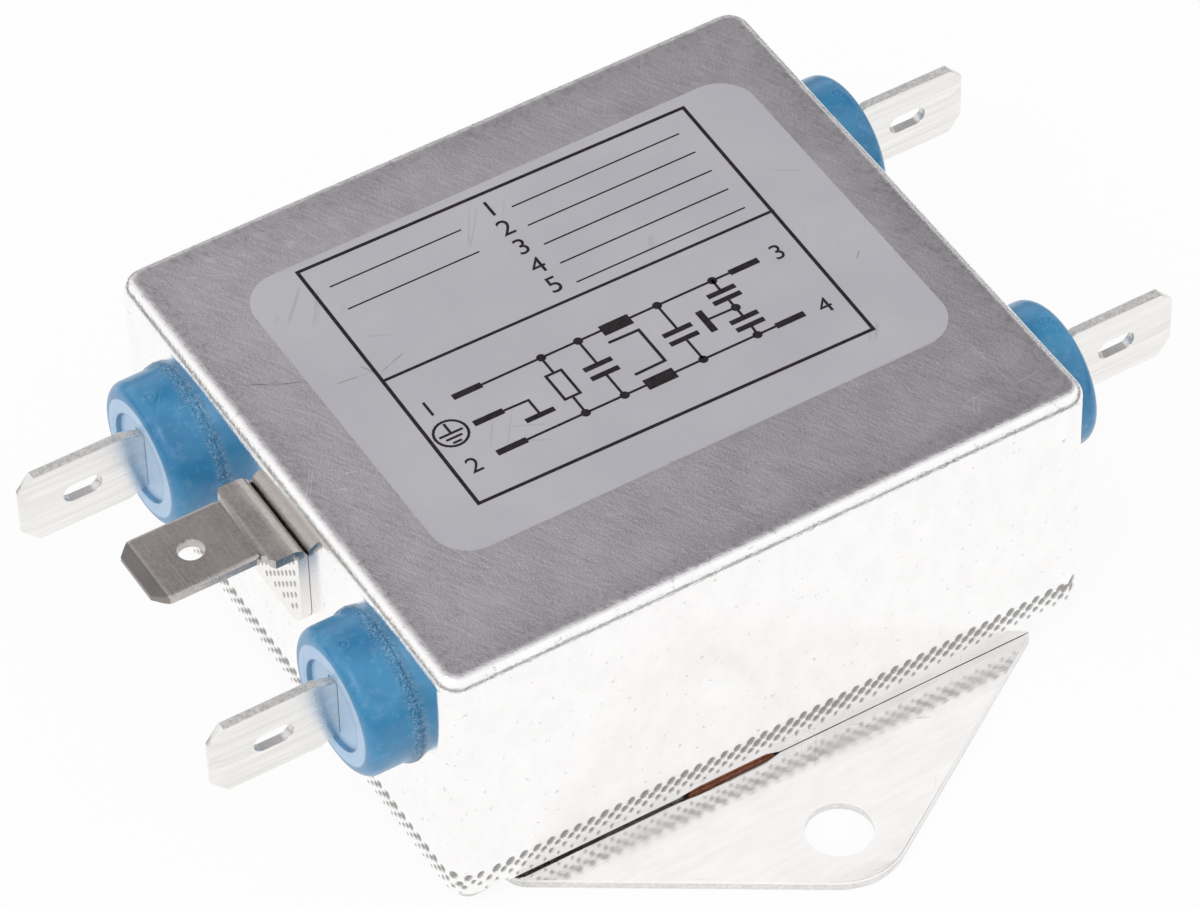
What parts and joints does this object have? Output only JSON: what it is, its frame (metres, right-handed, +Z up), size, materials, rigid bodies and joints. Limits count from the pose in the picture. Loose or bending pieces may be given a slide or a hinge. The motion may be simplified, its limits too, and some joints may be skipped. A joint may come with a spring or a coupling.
{
  "type": "power line filter",
  "caption": "Mains interference filter in a flat metal can with blue terminal bushings, push-on tabs on both ends, a bent earth tab and a base plate with two mounting ears.",
  "frame": {"origin": "middle of the underside of the base plate, which is the mounting plane and the bottom centre of the bounding box", "axes": "+Z up out of the mounting plane, +X along the terminals from the line side (with the earth tab) to the load side, +Y along the line through both mounting holes"},
  "size_m": [0.0798, 0.0734, 0.0236],
  "materials": {
    "can_metal": "bright brushed sheet, satin on top",
    "plate_metal": "bright plated sheet",
    "tab_metal": "tin plated, brushed lengthwise",
    "earth_metal": "plated sheet, brushed",
    "bushing_blue": "satin moulded plastic",
    "label_foil": "silver-grey satin foil",
    "sheet_brown": "pressed insulating board",
    "core_ferrite": "matt ferrite",
    "winding_copper": "enamelled copper wire",
    "divider_plastic": "moulded plastic",
    "capacitor_yellow": "moulded plastic box",
    "capacitor_blue": "lacquered disc",
    "resistor_beige": "lacquered ceramic",
    "lead_blue": "insulated wire",
    "lead_brown": "insulated wire",
    "lead_green": "insulated wire"
  },
  "bodies": {
    "root": {"case_can": "can_metal", "base_plate": "plate_metal", "base_insulator": "sheet_brown", "bushing_line_n": "bushing_blue", "bushing_line_l": "bushing_blue", "bushing_load_n": "bushing_blue", "bushing_load_l": "bushing_blue", "tab_line_n": "tab_metal", "tab_line_l": "tab_metal", "tab_load_n": "tab_metal", "tab_load_l": "tab_metal", "earth_tab": "earth_metal", "rating_label": "label_foil", "choke_core": "core_ferrite", "choke_divider": "divider_plastic", "winding_n": "winding_copper", "winding_l": "winding_copper", "x_capacitor_line": "capacitor_yellow", "x_capacitor_load": "capacitor_yellow", "y_capacitor_n": "capacitor_blue", "y_capacitor_l": "capacitor_blue", "discharge_resistor": "resistor_beige", "lead_line_n": "lead_blue", "lead_line_l": "lead_brown", "lead_load_n": "lead_blue", "lead_load_l": "lead_brown", "earth_lead": "lead_green"}
  },
  "joints": []
}
